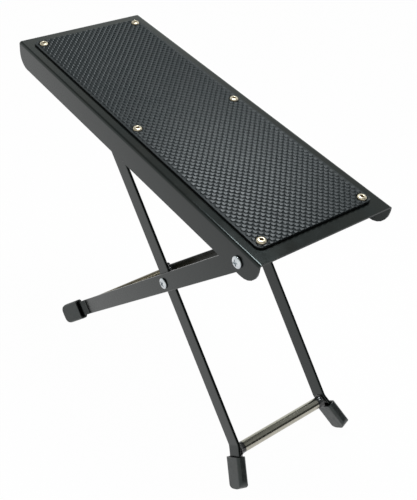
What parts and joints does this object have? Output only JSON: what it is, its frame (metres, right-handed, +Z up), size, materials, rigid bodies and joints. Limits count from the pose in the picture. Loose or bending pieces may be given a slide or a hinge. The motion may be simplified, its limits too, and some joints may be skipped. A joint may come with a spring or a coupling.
{
  "type": "folding footstool stand",
  "caption": "Folding footstool stand: a sloping channel tread with a studded mat on two crossed flat-bar leg frames with splayed capped feet.",
  "frame": {"origin": "on the floor, under the centre of the bounding box with the stand open", "axes": "+X along the tread towards its low, hinged end; +Y across the stand, away from the picture's viewer; +Z up"},
  "size_m": [0.2748, 0.1106, 0.2427],
  "materials": {
    "coated_steel": "semi-gloss black powder coat",
    "mat_rubber": "moulded black rubber with a studded face",
    "foot_rubber": "matte black rubber",
    "nickel": "warm nickel plate",
    "zinc_plate": "bright zinc plate",
    "plated_rod": "smooth plated round rod",
    "nylon": "natural nylon"
  },
  "bodies": {
    "tread": {"tread_plate": "coated_steel", "tread_mat": "mat_rubber", "mat_rivet_1": "nickel", "mat_rivet_2": "nickel", "mat_rivet_3": "nickel", "mat_rivet_4": "nickel", "mat_rivet_5": "nickel", "mat_rivet_6": "nickel", "ratchet_rail_near": "zinc_plate", "ratchet_rail_far": "zinc_plate", "hinge_screw_near": "zinc_plate", "hinge_screw_far": "zinc_plate"},
    "rear_leg": {"rear_leg_bar_near": "coated_steel", "rear_leg_bar_far": "coated_steel", "rear_crossbar": "plated_rod", "rear_foot_cap_near": "foot_rubber", "rear_foot_cap_far": "foot_rubber", "crossing_screw_near": "zinc_plate", "crossing_screw_far": "zinc_plate", "crossing_nut_near": "zinc_plate", "crossing_nut_far": "zinc_plate", "crossing_washer_near": "nylon", "crossing_washer_far": "nylon", "hinge_spacer_near": "zinc_plate", "hinge_spacer_far": "zinc_plate"},
    "front_leg": {"front_leg_bar_near": "coated_steel", "front_leg_bar_far": "coated_steel", "front_crossbar": "plated_rod", "ratchet_rod": "plated_rod", "front_foot_cap_near": "foot_rubber", "front_foot_cap_far": "foot_rubber"}
  },
  "joints": [
    {"name": "fold", "type": "hinge", "parent": "tread", "child": "rear_leg", "pos_m": [0.11949, 0, 0.19017], "axis": [0, 1, 0], "range_deg": [0, 47.9]},
    {"name": "scissor", "type": "hinge", "parent": "rear_leg", "child": "front_leg", "pos_m": [0.03237, 0, 0.1201], "axis": [0, 1, 0], "range_deg": [-90.61, 0]}
  ],
  "couplings": [
    {"joint": "scissor", "follows": "fold", "ratio": -1.8907}
  ]
}
